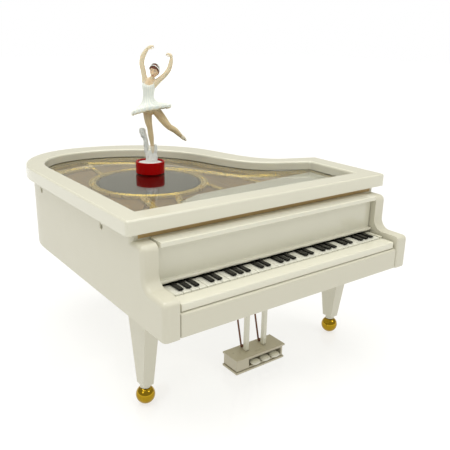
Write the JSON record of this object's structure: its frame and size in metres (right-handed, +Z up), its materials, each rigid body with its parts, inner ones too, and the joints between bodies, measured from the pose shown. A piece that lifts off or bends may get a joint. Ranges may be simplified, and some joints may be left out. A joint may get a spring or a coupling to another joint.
{
  "type": "grand-piano music and jewellery box",
  "caption": "Ivory plastic grand-piano music box on ball-foot legs, with a glazed hinged lid over a jewellery space and a ballerina carried round a gold ring by a magnet.",
  "frame": {"origin": "on the floor, under the middle of the object's bounding box", "axes": "+Z up, +X along the keyboard towards its treble end, +Y from the keyboard towards the tail"},
  "size_m": [0.168, 0.189, 0.1745],
  "materials": {
    "ivory": "glossy moulded ABS, ivory",
    "white_plastic": "satin white moulding",
    "black_plastic": "glossy black",
    "clear_plastic": "clear acrylic window",
    "brown_plastic": "brown wood-tone print",
    "gold": "bright gold plating",
    "brass": "plain brass",
    "steel": "plain steel",
    "copper_rod": "copper-brown rod",
    "red_plastic": "glossy red",
    "flock": "dark red flocking",
    "figure_paint": "painted moulded figurine"
  },
  "bodies": {
    "case": {"case_rim": "ivory", "bottom_plate": "ivory", "front_rail": "ivory", "key_bed": "ivory", "key_slip": "ivory", "key_block_left": "ivory", "key_block_right": "ivory", "white_keys": "white_plastic", "black_keys": "black_plastic", "fallboard": "ivory", "fallboard_moulding": "ivory", "hinge_pin_front": "steel", "hinge_pin_rear": "steel", "leg_left": "ivory", "leg_right": "ivory", "leg_tail": "ivory", "foot_ball_left": "gold", "foot_ball_right": "gold", "foot_ball_tail": "gold", "leg_screw_left": "steel", "leg_screw_right": "steel", "leg_screw_tail": "steel", "lyre_base": "ivory", "lyre_box": "ivory", "pedal_left": "ivory", "pedal_middle": "ivory", "pedal_right": "ivory", "lyre_post_left": "ivory", "lyre_post_right": "ivory", "lyre_rod_left": "copper_rod", "lyre_rod_right": "copper_rod", "jewellery_tray": "flock", "movement_cover": "black_plastic", "movement_bedplate": "steel", "bearing_left": "brass", "bearing_middle": "brass", "governor_frame": "brass", "comb_base": "brass", "comb": "steel", "comb_screw_left": "steel", "comb_screw_right": "steel"},
    "lid": {"lid_frame": "ivory", "lid_window": "clear_plastic", "soundboard": "brown_plastic", "harp_plate": "gold", "pin_block": "white_plastic"},
    "winder": {"winding_shaft": "steel", "winding_key": "brass"},
    "barrel": {"spring_barrel": "brass", "mainspring": "steel", "turntable_spindle": "brass", "turntable_disc": "black_plastic", "drive_magnet": "steel"},
    "cylinder": {"pin_cylinder": "brass"},
    "governor_gear": {"governor_wheel": "brass"},
    "governor": {"governor_worm_fan": "brass"},
    "ballerina": {"magnet_cup": "red_plastic", "base_magnet": "steel", "pedestal": "white_plastic", "figure": "figure_paint"}
  },
  "joints": [
    {"name": "lid_hinge", "type": "hinge", "parent": "case", "child": "lid", "pos_m": [-0.078, 0.0025, 0.0948], "axis": [0, -1, 0], "range_deg": [0, 95]},
    {"name": "winding", "type": "hinge", "parent": "case", "child": "winder", "pos_m": [-0.0283, 0.0081, 0.05], "axis": [0, 0, 1], "continuous": true},
    {"name": "barrel_spin", "type": "hinge", "parent": "case", "child": "barrel", "pos_m": [-0.0283, 0.0081, 0.07], "axis": [0, 0, 1], "continuous": true},
    {"name": "cylinder_spin", "type": "hinge", "parent": "case", "child": "cylinder", "pos_m": [0, 0.0081, 0.07158], "axis": [1, 0, 0], "continuous": true},
    {"name": "governor_gear_spin", "type": "hinge", "parent": "case", "child": "governor_gear", "pos_m": [0.02, 0.0177, 0.07158], "axis": [1, 0, 0], "continuous": true},
    {"name": "governor_spin", "type": "hinge", "parent": "case", "child": "governor", "pos_m": [0.0213, 0.0241, 0.075], "axis": [0, 0, 1], "continuous": true},
    {"name": "ballerina_orbit", "type": "hinge", "parent": "lid", "child": "ballerina", "pos_m": [-0.0283, 0.0081, 0.105], "axis": [0, 0, 1], "continuous": true}
  ],
  "couplings": [
    {"joint": "cylinder_spin", "follows": "barrel_spin", "ratio": 3.6667},
    {"joint": "governor_gear_spin", "follows": "barrel_spin", "ratio": -11},
    {"joint": "governor_spin", "follows": "barrel_spin", "ratio": 132},
    {"joint": "ballerina_orbit", "follows": "barrel_spin", "ratio": 1}
  ]
}
